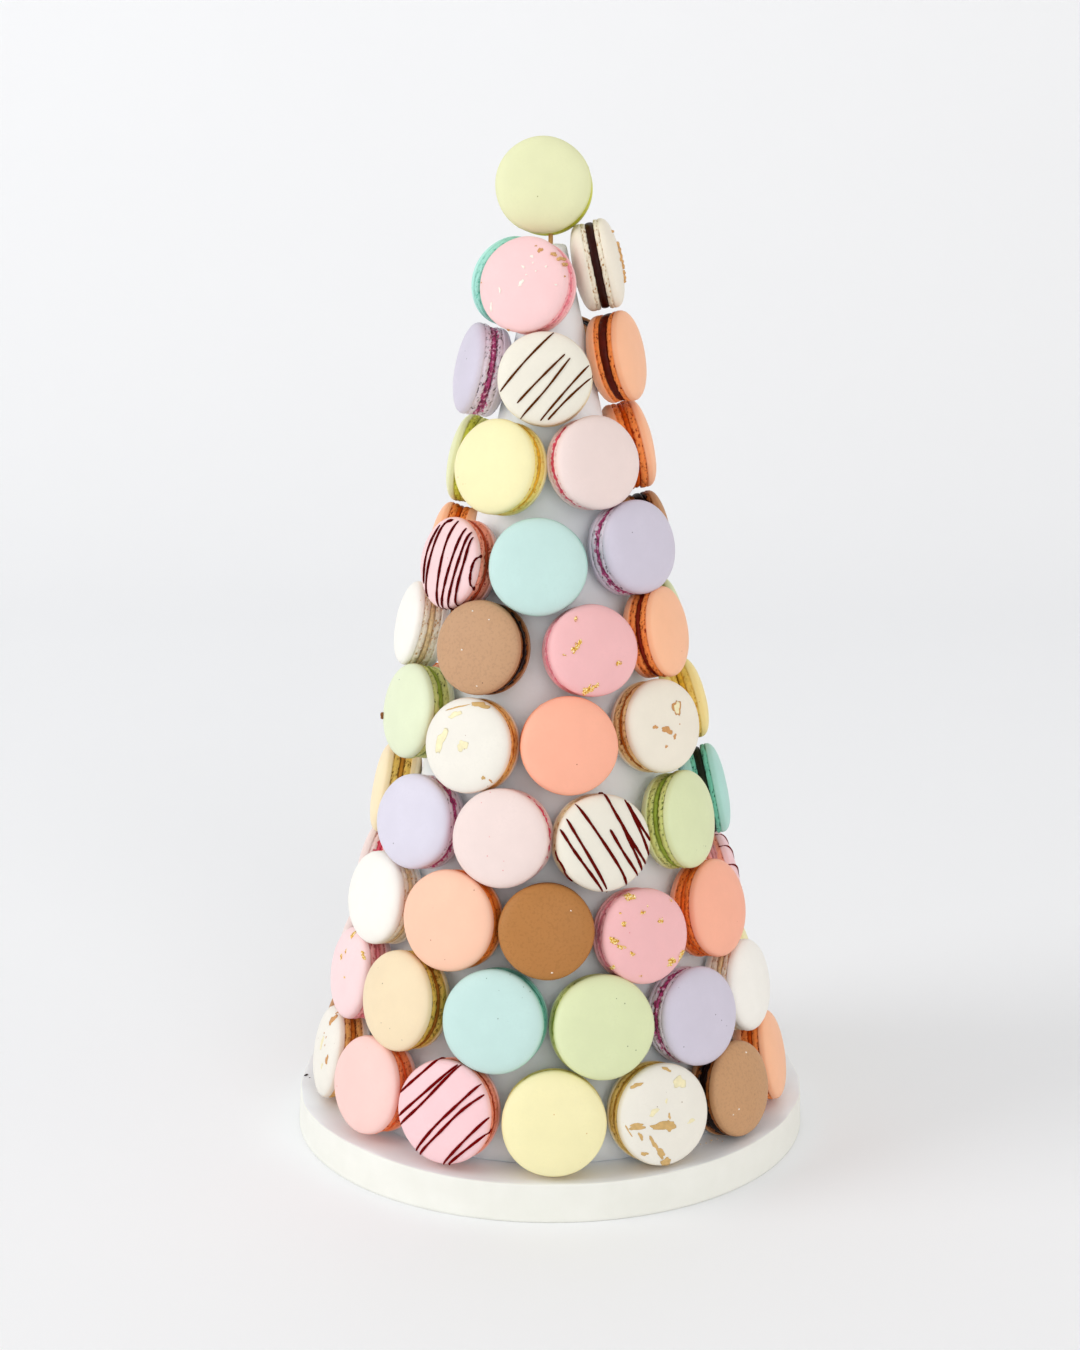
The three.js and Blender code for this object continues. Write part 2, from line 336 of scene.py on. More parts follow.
# Gold brushed flat on a shell: place to the right and up as shares of its radius, then length,
# width in millimetres and turn in degrees
GOLD_WASH = {
    "ring1_5_white_gold": [
        (0.11, 0.88, 4.5, 1.6, -30), (-0.58, 0.69, 5.8, 1.7, 12), (0.00, 0.00, 3.0, 1.3, 90),
        (-0.72, -0.08, 9.0, 3.1, 0), (-0.88, -0.10, 7.6, 0.9, -65), (-0.64, -0.28, 4.8, 1.4, -66),
        (-0.20, -0.15, 10.6, 3.6, -4), (0.00, -0.19, 5.6, 4.8, -60), (-0.57, -0.64, 4.0, 1.6, -14),
        (-0.38, -0.46, 8.0, 2.0, -61), (-0.24, -0.68, 7.4, 2.8, -60), (-0.10, -0.90, 5.4, 4.4, -50),
    ],
    "ring5_2_white_gold": [
        (0.27, 0.87, 8.6, 2.6, -6), (-0.24, 0.77, 12.0, 0.8, 18), (0.52, -0.61, 1.9, 1.8, 0),
    ],
}
# Amber blots
AMBER = {
    "ring1_1_white_gold": [
        (0.24, 0.76, 7.0, 4.4, 80), (0.20, 0.95, 2.0, 1.2, 60), (0.10, 0.42, 1.4, 1.0, 0),
        (0.30, 0.40, 1.4, 1.0, 90), (0.64, 0.02, 4.6, 3.0, 80), (0.36, 0.24, 1.2, 0.8, 110),
    ],
    "ring5_2_white_gold": [(0.66, -0.66, 1.8, 1.0, -50)],
    "ring5_4_cream_gold": [
        (-0.13, -0.09, 6.4, 3.4, -24), (-0.43, 0.02, 3.0, 1.8, -10), (0.06, -0.25, 2.8, 1.8, 55),
        (-0.20, -0.42, 1.8, 1.6, 45), (0.24, -0.02, 1.0, 0.8, 0), (0.24, 0.33, 7.6, 5.4, 68),
    ],
    "ring10_1_pink_gold": [
        (0.39, 0.67, 2.6, 2.2, 36), (0.28, 0.76, 1.2, 0.8, 0), (0.90, 0.38, 1.0, 0.7, 0),
        (-0.78, -0.66, 1.8, 1.0, -50), (-0.24, -0.96, 2.0, 0.9, 8), (-0.92, 0.00, 1.0, 0.7, 0),
        (0.95, 0.16, 1.0, 0.6, 80),
    ],
}
# Pale gold blots
PALE_GOLD = {
    "ring1_5_white_gold": [
        (0.33, 0.59, 6.6, 5.6, -10), (-0.03, 0.30, 2.2, 1.2, 70), (-0.32, 0.14, 5.4, 2.8, 25),
        (0.49, -0.19, 4.2, 1.8, 18),
    ],
    "ring5_2_white_gold": [
        (-0.51, 0.05, 12.0, 4.6, 70), (0.02, 0.00, 5.6, 4.8, 30), (-0.25, 0.62, 7.0, 2.6, 22),
    ],
    "ring5_4_cream_gold": [(0.245, 0.33, 5.6, 3.6, 68)],
    "ring1_1_white_gold": [(0.12, 0.20, 7.0, 3.6, 85), (0.44, -0.20, 3.0, 2.0, 70)],
}
# Crumpled gold leaf
GOLD_LEAF = {
    "ring6_3_pink_gold": [
        (-0.41, 0.69, 2.7, 1.5, 70), (-0.42, 0.15, 4.8, 2.7, 55), (-0.52, 0.04, 3.5, 2.6, 36),
        (-0.72, -0.05, 1.8, 1.1, 0), (0.47, -0.30, 3.0, 2.2, 0), (-0.27, -0.85, 3.8, 3.2, 30),
        (-0.18, -0.80, 3.9, 3.2, 30), (-0.06, -0.75, 3.4, 2.0, 25),
    ],
    "ring3_5_pink_gold": [
        (-0.32, 0.86, 4.9, 3.2, 8), (-0.40, 0.90, 1.7, 1.2, 0), (0.02, 0.63, 1.7, 1.1, 0),
        (-0.12, 0.53, 2.9, 2.0, 27), (-0.61, 0.57, 1.1, 1.0, 0), (-0.58, 0.35, 2.7, 2.2, 60),
        (0.26, 0.30, 3.4, 2.8, 25), (-0.82, 0.04, 4.6, 2.9, -43), (-0.69, -0.11, 4.9, 1.7, -20),
        (-0.46, -0.29, 3.0, 1.8, -45), (0.75, -0.51, 6.1, 3.7, 50), (0.46, -0.60, 5.1, 3.9, 0),
        (-0.84, -0.54, 3.4, 1.3, 75), (-0.28, -0.78, 1.5, 1.2, 0), (0.63, 0.66, 1.3, 1.0, -55),
    ],
    "ring2_1_pink_gold": [
        (-0.10, 0.31, 2.9, 2.0, 110), (0.72, 0.62, 4.6, 1.8, -40), (0.05, 0.48, 2.4, 1.5, 100),
        (0.05, 0.87, 3.7, 2.9, 110), (0.30, -0.03, 1.5, 1.0, 20),
    ],
}
# Golden crumbs
GOLD_CRUMBS = {
    "ring10_2_cream_gold": [
        (-0.16, 0.36, 3.0, 2.4, 40), (-0.28, 0.22, 2.4, 2.0, -20), (-0.10, 0.10, 3.4, 2.6, 70),
        (-0.40, 0.02, 2.0, 1.6, 10), (-0.12, -0.14, 2.6, 2.2, -50), (-0.20, -0.26, 2.0, 1.6, 80),
        (-0.10, -0.38, 2.8, 2.0, 60), (-0.24, -0.46, 1.8, 1.4, 30), (0.06, 0.24, 2.4, 2.0, 20),
        (0.10, -0.04, 2.6, 2.0, 0), (0.04, -0.28, 2.0, 1.8, 45), (-0.30, 0.66, 1.6, 1.2, 0),
    ],
    "ring10_1_pink_gold": [
        (0.68, 0.60, 2.6, 1.8, -16), (0.82, 0.52, 2.8, 2.0, 20), (0.90, 0.42, 1.6, 1.2, 0),
    ],
}
# Brown crumbs
BROWN_CRUMBS = {"ring5_1_pistachio": [(-0.80, -0.28, 3.2, 2.2, 90)]}
# Grains on the board: to the right and back in metres, length and width in millimetres
BOARD_SUGAR = [
    (0.0770, -0.0800, 1.0, 0.8), (0.0742, -0.0830, 0.8, 0.6), (0.0800, -0.0786, 0.7, 0.6),
    (0.0715, -0.0842, 0.6, 0.5), (0.0822, -0.0808, 0.6, 0.5), (0.0765, -0.0826, 0.5, 0.4),
]
BOARD_CRUMBS = [(-0.1250, -0.0010, 2.6, 1.2), (-0.1228, -0.0040, 0.9, 0.7)]

# Sugar on a shell
SUGAR = {
    "ring10_1_pink_gold": [
        (0.07, -0.02, 3.6, 1.8, 60), (-0.41, -0.17, 2.8, 1.0, -74), (-0.61, -0.51, 4.2, 1.2, 87),
        (0.08, 0.31, 2.2, 1.0, -30), (0.17, 0.15, 1.0, 0.8, 0), (0.24, 0.53, 2.0, 1.1, -26),
        (0.28, 0.40, 1.0, 0.8, 0), (0.57, 0.33, 1.1, 1.0, 0), (0.37, 0.23, 1.0, 0.7, 0),
        (0.81, -0.03, 1.0, 0.9, 0),
    ],
    "ring1_6_mocha": [
        (0.20, 0.72, 0.9, 0.8, 0), (-0.42, -0.30, 0.9, 0.7, 0), (-0.60, -0.36, 0.7, 0.6, 0),
    ],
    "ring6_2_mocha": [
        (-0.12, 0.75, 0.8, 0.7, 0), (0.30, 0.60, 0.8, 0.6, 0), (-0.24, -0.08, 0.9, 0.7, 0),
        (0.15, -0.80, 0.7, 0.6, 0),
    ],
    "ring3_4_mocha": [(0.50, 0.45, 0.7, 0.6, 0), (0.12, -0.82, 0.9, 0.7, 0)],
}

# Flavours at the back, of which every fourth is taken in turn
HIDDEN_STEP = 4
HIDDEN_FLAVOURS = [
    "coral", "white", "pistachio", "pale_pink", "yellow", "lavender", "orange", "aqua", "mocha",
    "salmon", "lime", "tan", "peach", "mint", "beige",
]

# Lamps, in metres and watts
Lamp = namedtuple("Lamp", "place target size power colour")
LAMPS = {
    "fill": Lamp((1.4, -4.0, 1.6), (0, 0, 0.25), 2.6, 42, (1.0, 1.0, 1.0)),
    "backdrop": Lamp((0, 0.9, 2.4), (0, 2.4, 0.4), 2.0, 2.5, (1.0, 0.97, 0.93)),
    "warmth": Lamp((3.5, -0.9, 1.0), (0, 0, 0.2), 2.2, 10, (1.0, 0.82, 0.62)),
    "key": Lamp((-3.4, -1.1, 1.7), (0, 0, 0.25), 2.4, 58, (1.0, 0.995, 0.985)),
}
WORLD_STRENGTH = 0.64


# Colours and materials

def linear(code):
    """The linear colour of a hex colour."""
    values = [int(code[i:i + 2], 16) / 255 for i in (0, 2, 4)]
    return [v / 12.92 if v <= 0.04045 else ((v + 0.055) / 1.055) ** 2.4 for v in values] + [1.0]


class Nodes:
    """A material's node tree, with short calls to add to it."""

    def __init__(self, name, roughness, specular=0.35):
        self.material = bpy.data.materials.new(name)
        self.material.use_nodes = True
        self.tree = self.material.node_tree
        self.shader = self.tree.nodes["Principled BSDF"]
        self.feed_named(self.shader, Roughness=roughness, Specular_IOR_Level=specular)
        self.place = self.add("ShaderNodeTexCoord").outputs["Object"]

    def add(self, kind, **settings):
        node = self.tree.nodes.new(kind)
        for key, value in settings.items():
            setattr(node, key, value)
        return node

    def link(self, output, target):
        self.tree.links.new(output, target)

    def feed(self, sockets, values):
        """Give each socket its value, or link it to an output."""
        for socket, value in zip(sockets, values):
            if isinstance(value, (int, float, list)):
                socket.default_value = value
            else:
                self.link(value, socket)

    def feed_named(self, node, **values):
        """Feed the inputs of a node by their names."""
        self.feed([node.inputs[key.replace("_", " ")] for key in values], values.values())

    def noise(self, scale, detail=3.0, rough=0.55):
        node = self.add("ShaderNodeTexNoise")
        self.feed_named(node, Scale=scale, Detail=detail, Roughness=rough, Vector=self.place)
        return node.outputs["Fac"]

    def cells(self, scale):
        node = self.add("ShaderNodeTexVoronoi")
        self.feed_named(node, Scale=scale, Vector=self.place)
        return node.outputs["Distance"]

    def ramp(self, value, low=0.3, high=0.7, start=0.0, end=1.0):
        node = self.add("ShaderNodeMapRange", clamp=True)
        self.feed_named(node, Value=value, From_Min=low, From_Max=high, To_Min=start, To_Max=end)
        return node.outputs["Result"]

    def math(self, operation, a, b):
        node = self.add("ShaderNodeMath", operation=operation)
        self.feed(node.inputs, (a, b))
        return node.outputs[0]

    def mix(self, share, a, b):
        node = self.add("ShaderNodeMix", data_type="RGBA")
        self.feed([s for s in node.inputs if s.enabled], (share, a, b))
        return [s for s in node.outputs if s.enabled][0]

    def attribute(self, name):
        return self.add("ShaderNodeAttribute", attribute_name=name).outputs["Fac"]

    def colour(self, output):
        self.link(output, self.shader.inputs["Base Color"])

    def roughness(self, output):
        self.link(output, self.shader.inputs["Roughness"])

    def glow(self, colour, weight, reach):
        """Light that spreads under the surface."""
        tint = [0.4 + 0.6 * v for v in colour[:3]]
        self.feed_named(
            self.shader, Subsurface_Weight=weight, Subsurface_Radius=tint, Subsurface_Scale=reach)

    def bump(self, height, strength, distance):
        node = self.add("ShaderNodeBump")
        self.feed_named(node, Strength=strength, Distance=distance, Height=height)
        self.link(node.outputs["Normal"], self.shader.inputs["Normal"])


def shade(colour, amount):
    """A linear colour made darker."""
    return [amount * v for v in colour[:3]] + [1.0]


def shell_material(flavour):
    """A satin shell with a few pin holes, over a foot that is deeper in colour, pitted and stained, with
    painted shade in its pits.
    """
    nodes = Nodes(f"shell_{flavour.finish}", 0.5, 0.22)
    mocha = flavour.finish == "mocha"
    colour, foot, pit = linear(flavour.shell), linear(flavour.foot), linear(flavour.pit)
    soft = nodes.noise(90, 2.0)
    fine = nodes.noise(1500, 4.0, 0.6)
    tinted = nodes.mix(nodes.ramp(soft), colour, shade(colour, 0.96))
    grain = 0.86 if mocha else 0.97
    tinted = nodes.mix(nodes.ramp(nodes.noise(760, 3.0), 0.36, 0.5, 0.8, 0.0), tinted, shade(colour, grain))
    dots = nodes.ramp(nodes.cells(210), 0.05, 0.08, 1.0, 0.0)
    chosen = nodes.ramp(nodes.noise(60, 0.0), 0.6, 0.64, 0.0, 0.65)
    tinted = nodes.mix(nodes.math("MULTIPLY", dots, chosen), tinted, pit)
    froth = nodes.mix(nodes.ramp(nodes.noise(900, 2.0), 0.38, 0.62), shade(foot, 0.9), foot)
    spread = MOCHA_SPREAD if mocha else STAIN_SPREAD.get(flavour.filling, USUAL_SPREAD)
    smear = nodes.math("ADD", nodes.math("MULTIPLY", nodes.attribute("stain"), spread), nodes.noise(420, 3.0))
    stain = nodes.math("MULTIPLY", nodes.attribute("foot"), nodes.ramp(smear, 0.78, 0.9))
    froth = nodes.mix(stain, froth, linear(flavour.inside))
    whole = nodes.mix(nodes.attribute("foot"), tinted, froth)
    # Painted shade: the dark pit colour is laid into the foot's pits and on the underside, where shade falls
    holes = nodes.ramp(nodes.noise(1150, 2.0), 0.4, 0.56)
    depth = nodes.ramp(nodes.attribute("pit"), 0.1, 0.6, 0.0, 0.95)
    nodes.colour(nodes.mix(nodes.math("MULTIPLY", holes, depth), whole, pit))
    nodes.roughness(nodes.ramp(fine, 0.3, 0.7, 0.44, 0.6))
    nodes.bump(nodes.math("ADD", nodes.math("MULTIPLY", fine, 0.35), soft), 0.22, 0.0006)
    nodes.glow(colour, 0.12, 0.003)
    return nodes.material


def filling_material(filling, code):
    """A soft filling with lumps, which froth from the shells makes paler in places on fruit."""
    nodes = Nodes(f"filling_{filling}", 0.45, 0.12)
    fruit = filling == "fruit"
    colour = linear(code)
    lumps = nodes.noise(500, 3.0)
    mottled = nodes.mix(nodes.ramp(lumps, 0.35, 0.6), shade(colour, 0.3 if fruit else 0.7), colour)
    if fruit:
        mottled = nodes.mix(nodes.ramp(nodes.noise(620, 2.0), 0.54, 0.64), mottled, linear("e4b0cc"))
    nodes.colour(mottled)
    nodes.roughness(nodes.ramp(lumps, 0.3, 0.7, 0.3, 0.55))
    nodes.bump(lumps, 0.4, 0.0004)
    return nodes.material


def plain_material(name, code, roughness, scale, depth, metallic=0.0, darkest=0.93, specular=0.35):
    """An even surface, its mottling at a noise scale and with a depth of relief in metres."""
    nodes = Nodes(name, roughness, specular)
    colour = linear(code)
    mottle = nodes.noise(scale, 4.0)
    nodes.colour(nodes.mix(nodes.ramp(mottle), shade(colour, darkest), colour))
    nodes.roughness(nodes.ramp(mottle, 0.3, 0.7, roughness - 0.06, roughness + 0.08))
    nodes.feed_named(nodes.shader, Metallic=metallic)
    nodes.bump(mottle, 0.3, depth)
    return nodes.material


def leaf_material_with_painted_glints():
    """Crumpled gold leaf, with painted highlights on its creases and painted shade in its folds."""
    nodes = Nodes("gold", 0.35, 0.5)
    folds = nodes.noise(1300, 3.0)
    # Painted shade in the folds, and a painted highlight colour on the creases
    gold = nodes.mix(nodes.ramp(folds, 0.34, 0.5), linear("a86a14"), linear("f0c044"))
    nodes.colour(nodes.mix(nodes.ramp(folds, 0.5, 0.62), gold, linear("fff4c4")))
    nodes.feed_named(nodes.shader, Metallic=0.35)
    nodes.bump(folds, 0.3, 0.0003)
    return nodes.material


def foam_material():
    """Smooth pressed foam: faint beads under a matt skin."""
    nodes = Nodes("foam", 0.62, 0.3)
    colour = linear("f4faff")
    seams = nodes.ramp(nodes.cells(420), 0.2, 0.75)
    haze = nodes.noise(30, 3.0)
    nodes.colour(nodes.mix(nodes.ramp(haze, 0.3, 0.7, 0.0, 0.5), colour, linear("ecf3fc")))
    nodes.bump(seams, 0.08, 0.0004)
    nodes.glow(colour, 0.6, 0.02)
    return nodes.material


def wood_material():
    """Pale wood with its grain along the pick."""
    nodes = Nodes("wood", 0.6, 0.3)
    stretch = nodes.add("ShaderNodeMapping")
    nodes.feed_named(stretch, Scale=[1.0, 1.0, 0.08], Vector=nodes.place)
    nodes.place = stretch.outputs["Vector"]
    grain = nodes.noise(2600, 2.0, 0.5)
    nodes.colour(nodes.mix(nodes.ramp(grain, 0.35, 0.65), linear("b77f43"), linear("dcae6e")))
    nodes.bump(grain, 0.3, 0.0002)
    return nodes.material


# Meshes

def unit(vector):
    """A vector, or each row of an array, made one long."""
    return vector / np.linalg.norm(vector, axis=-1, keepdims=True)


def band(upper, lower, upper_count, lower_count):
    """Faces between two rings of points, of which one may have twice the points of the other."""
    faces = []
    for i in range(min(upper_count, lower_count)):
        if upper_count == lower_count:
            after = (i + 1) % upper_count
            faces.append((upper + i, lower + i, lower + after, upper + after))
            continue
        after = (i + 1) % min(upper_count, lower_count)
        if lower_count > upper_count:
            a, b = upper + i, upper + after
            c, d, e = lower + 2 * i, lower + 2 * i + 1, lower + 2 * after
            faces += [(a, c, d), (a, d, b), (b, d, e)]
        else:
            a, b, c = upper + 2 * i, upper + 2 * i + 1, upper + 2 * after
            d, e = lower + i, lower + after
            faces += [(a, d, b), (b, d, e), (b, e, c)]
    return faces


def skin(rings, first, last):
    """Vertices and faces of a closed skin over rings of points, from one end point to the other."""
    points = np.vstack([[first], *rings, [last]])
    starts = np.cumsum([1] + [len(ring) for ring in rings])
    top, low, end = len(rings[0]), len(rings[-1]), starts[-1]
    faces = [(0, 1 + i, 1 + (i + 1) % top) for i in range(top)]
    for number in range(len(rings) - 1):
        faces += band(starts[number], starts[number + 1], len(rings[number]), len(rings[number + 1]))
    faces += [(end, starts[-2] + (i + 1) % low, starts[-2] + i) for i in range(low)]
    return points, faces


def join(parts):
    """One set of points and faces from several."""
    points, faces, start = [], [], 0
    for part_points, part_faces in parts:
        points.append(part_points)
        faces += [tuple(start + i for i in face) for face in part_faces]
        start += len(part_points)
    return np.vstack(points), faces


def smooth_body(name, points, faces, material):
    """A smooth mesh in the scene."""
    mesh = bpy.data.meshes.new(name)
    mesh.from_pydata([tuple(map(float, p)) for p in points], [], [tuple(map(int, f)) for f in faces])
    mesh.polygons.foreach_set("use_smooth", [True] * len(mesh.polygons))
    mesh.materials.append(material)
    mesh.update()
    body = bpy.data.objects.new(name, mesh)
    bpy.context.scene.collection.objects.link(body)
    return body


def piece(name, points, faces, material, slot, nodes=(), attributes=()):
    """A smooth mesh that rides on the tower and stands for CAD nodes; its slot is not used."""
    body = smooth_body(name, points, faces, material)
    for key, values in attributes:
        marks = body.data.attributes.new(key, "FLOAT", "POINT")
        marks.data.foreach_set("value", np.asarray(values, np.float32))
    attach(body, "root")
    if nodes:
        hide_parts(*nodes)
    return body


def even_angles(count):
    """A full turn in even steps."""
    return np.arange(count) * 2 * math.pi / count


def unit_circle(count):
    """Directions round Z, evenly spaced."""
    angles = even_angles(count)
    return np.stack([np.cos(angles), np.sin(angles), 0 * angles], 1)


def noise_round(circle, waves, seed):
    """Noise round a circle of directions."""
    return np.array([noise.noise(Vector((waves * c[0], waves * c[1], seed))) for c in circle])


def turned(outline, steps):
    """Rings about Z from an outline of (radius, height) points that ends on the axis both ways."""
    circle = unit_circle(steps)
    rings = [circle * radius + UP * height for radius, height in outline[1:-1]]
    return skin(rings, UP * outline[0][1], UP * outline[-1][1])


# Where the macarons are, from the CAD nodes

Macaron = namedtuple("Macaron", "name node flavour centre right up out radius seed")


def merged(cad):
    """Points of a CAD node's mesh and their neighbours, with equal points as one."""
    numbers, points, index = {}, [], []
    for vertex in cad.data.vertices:
        key = tuple(round(v, 6) for v in vertex.co)
        if key not in numbers:
            numbers[key] = len(points)
            points.append(vertex.co[:])
        index.append(numbers[key])
    neighbours = defaultdict(set)
    for polygon in cad.data.polygons:
        loop = [index[v] for v in polygon.vertices]
        for a, b in zip(loop, loop[1:] + loop[:1]):
            neighbours[a].add(b)
            neighbours[b].add(a)
    return np.array(points), neighbours


def apexes(points, neighbours):
    """The tips of the domes: (point, outward direction, radius of the ring next to it)."""
    found = []
    for number, near in neighbours.items():
        if len(near) < TIP_NEIGHBOURS:
            continue
        ring = points[list(near)]
        reach = np.linalg.norm(ring - points[number], axis=1)
        if reach.max() - reach.min() > TIP_UNEVENNESS * MM or reach.min() < TIP_REACH * MM:
            continue
        middle = ring.mean(0)
        outward = points[number] - middle
        found.append((points[number], unit(outward), np.linalg.norm(ring[0] - middle)))
    return found


def pairs(tips):
    """The two tips of each macaron: the wider shell's first."""
    left, found = list(tips), []
    while left:
        tip = left.pop(0)
        gaps = [np.linalg.norm(tip[0] - other[0] + 2 * APEX_LEVEL * MM * other[1]) for other in left]
        mate = left.pop(int(np.argmin(gaps)))
        found.append((tip, mate) if tip[2] > mate[2] else (mate, tip))
    return found


def facing(out):
    """The right and up directions of a shell that faces out, as seen from in front of it."""
    up = unit(UP - out * out[2])
    return np.cross(up, out), up


def find_macarons():
    """Every macaron in the frame, those at the back last."""
    macarons = []
    share = None
    for node in sorted(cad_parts, key=lambda name: (name.startswith("back"), name)):
        if not node.startswith(("ring", "top", "back")):
            continue
        points, neighbours = merged(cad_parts[node])
        couples = pairs(apexes(points, neighbours))
        for count, (front, back) in enumerate(couples, 1):
            centre = (front[0] + back[0]) / 2
            out = unit(front[0] - back[0])
            if share is None:
                offset = points - centre
                flat = offset - outer(offset @ out, out)
                share = front[2] / np.linalg.norm(flat, axis=1).max()
            right, up = facing(out)
            seed = len(macarons)
            if node.startswith("back"):
                name = f"{node}_{count}"
                flavour = HIDDEN_FLAVOURS[seed * HIDDEN_STEP % len(HIDDEN_FLAVOURS)]
            else:
                name = node
                flavour = re.sub(r"^(top|ring\d+_\d+)_", "", node)
            macarons.append(Macaron(name, node, flavour, centre, right, up, out, front[2] / share, seed))
    return macarons


# Macaron pieces

def dome_level(turn):
    """Height of the dome over the middle plane, in millimetres, at a turn away from its tip."""
    return RIM_LEVEL + (APEX_LEVEL - RIM_LEVEL) * max(0.0, math.cos(turn)) ** DOME_FLAT


def dome(radius_share):
    """The dome's height at a share of its radius."""
    return dome_level(math.asin(min(1.0, radius_share) ** (1 / DOME_ROUND)))


class Half:
    """One shell of a macaron, set slightly askew on the filling."""

    def __init__(self, macaron, side):
        random = np.random.default_rng(SHELL_SEED + 2 * macaron.seed + (side < 0))
        tilt = np.radians(random.uniform(-TILT_LIMIT, TILT_LIMIT, 2))
        self.radius = macaron.radius * (FRONT_SHARE if side > 0 else BACK_SHARE)
        self.stretch = 1 + random.uniform(-STRETCH_LIMIT, STRETCH_LIMIT)
        self.spin = random.uniform(0, math.pi)
        out = macaron.out * side
        right = macaron.right
        up = np.cross(out, right)
        self.out = unit(out + right * tilt[0] + up * tilt[1])
        self.up = unit(up - self.out * (up @ self.out))
        self.right = np.cross(self.up, self.out)
        shift = random.uniform(-SHIFT_LIMIT, SHIFT_LIMIT, 2) * MM
        self.centre = macaron.centre + right * shift[0] + up * shift[1]
        self.seed = macaron.seed * NOISE_STEP + (NOISE_BACK if side < 0 else 0)

    def world(self, x, y, z):
        """The point, or points, to the shell's right, up and out of its middle."""
        return self.centre + outer(x, self.right) + outer(y, self.up) + outer(z, self.out)

    def on_shell(self, x, y, lift):
        """The point over a place on the dome, or over its lip and down the side past the rim."""
        share = math.hypot(x, y)
        if share <= 1.0:
            height = dome(share)
            return self.world(x * self.radius, y * self.radius, (height + lift) * MM)
        over = (share - 1.0) * self.radius / MM
        reach = self.radius + lift * MM - max(0.0, over - EDGE_DROP) * EDGE_DRAW * MM
        return self.world(x / share * reach, y / share * reach, (RIM_LEVEL - over) * MM)


def noise_at(points, grain, levels, level, seed):
    """Noise round a ring of (x, y) points in millimetres, at a level."""
    return np.array([noise.noise(Vector((x / grain, y / grain, level / levels + seed))) for x, y in points])


def shell(half, low):
    """A domed shell with its ruffled foot, and how much each point is foot, pit and stained; the pit mark
    says where shade is painted in the pit colour.
    """
    rings, foot, pit, stain = [], [0.0], [0.0], [0.0]
    radius = half.radius / MM
    underside = low - UNDERSIDE_SINK

    def circle(sides):
        """Directions round the shell, and its reach in each as a share of its radius."""
        angles = even_angles(sides)
        oval = 1 + (half.stretch - 1) * np.cos(2 * (angles - half.spin))
        oval += sum(depth * np.cos(waves * angles + half.spin * shift) for depth, waves, shift in OVAL_WAVES)
        return unit_circle(sides)[:, :2], oval - OVAL_MARGIN

    def add(flat, height, is_foot, pits):
        """One more ring of points in millimetres, with its marks."""
        height = np.broadcast_to(height, len(flat))
        rings.append(half.world(flat[:, 0] * MM, flat[:, 1] * MM, height * MM))
        foot.extend(np.broadcast_to(is_foot, len(flat)))
        pit.extend(np.broadcast_to(pits, len(flat)))
        stain.extend(np.clip((low + STAIN_TOP - height) / STAIN_FADE, 0, 1))

    around, oval = circle(DOME_SIDES)
    for step in range(1, DOME_STEPS + 1):
        turn = step / DOME_STEPS * math.pi / 2
        share = math.sin(turn) ** DOME_ROUND
        dents = DENT_DEPTH * noise_at(around * share, DENT_GRAIN, 1.0, 0.0, half.seed)
        dents *= 1 - share ** DENT_FADE
        reach = radius * share * (1 + (oval - 1) * share)
        add(around * reach[:, None], dome_level(turn) + dents, RIM_TINT * (share > RIM_SHARE), 0.0)
    around, oval = circle(FOOT_SIDES)
    for number, (share, height) in enumerate(LIP, 1):
        add(around * (radius * share * oval)[:, None], height, LIP_TINT * number, 0.0)
    lip_level = LIP[-1][1]
    for share, level, ready in FOOT:
        height = low + level * (lip_level - low)
        flat = around * radius
        folds = noise_at(flat, FOLD_GRAIN, FOLD_GRAIN, height, half.seed)
        pores = noise_at(flat, PIT_GRAIN, PIT_RISE, height, half.seed * PIT_SEED)
        pits = np.clip((pores + ready * PIT_READY - PIT_START) / PIT_SPAN, 0, 1)
        reach = radius * share * oval + FOLD_DEPTH * folds - PIT_DEPTH * pits
        add(around * np.minimum(reach, radius * oval)[:, None], height, 1.0, pits)
    around, oval = circle(DOME_SIDES)
    for share in UNDERSIDE:
        add(around * radius * share, underside, 1.0, UNDERSIDE_PAINTED_SHADE)
    points, faces = skin(rings, half.world(0, 0, APEX_LEVEL * MM), half.world(0, 0, underside * MM))
    return points, faces, foot + [1.0], pit + [UNDERSIDE_PAINTED_SHADE], stain + [1.0]


def filling(macaron, half_thickness):
    """The layer between the shells, pressed out a little unevenly."""
    circle = unit_circle(FILLING_SIDES)
    cos, sin = circle[:, 0], circle[:, 1]
    bulge = noise_round(circle, BULGE_WAVES, macaron.seed * BULGE_STEP)
    rings = []
    for share, level in FILLING_OUTLINE:
        reach = macaron.radius * (share + (BULGE_DEPTH * bulge if share > FILLING_CORE else 0))
        rings.append(macaron.centre + outer(reach * cos, macaron.right)
                     + outer(reach * sin, macaron.up) + macaron.out * level * half_thickness * MM)
    ends = [macaron.centre + macaron.out * side * half_thickness * MM for side in (1, -1)]
    return skin(rings, *ends)


# Decorations

def smooth_path(points, steps):
    """Points along a soft curve through the given ones."""
    points = np.array(points, float)
    padded = np.vstack([2 * points[0] - points[1], points, 2 * points[-1] - points[-2]])
    path = []
    for index in range(len(points) - 1):
        a, b, c, d = padded[index:index + 4]
        for t in np.linspace(0, 1, steps, endpoint=False):
            path.append(0.5 * (2 * b + (c - a) * t + (2 * a - 5 * b + 4 * c - d) * t * t
                               + (3 * b - a - 3 * c + d) * t ** 3))
    path.append(points[-1])
    return path


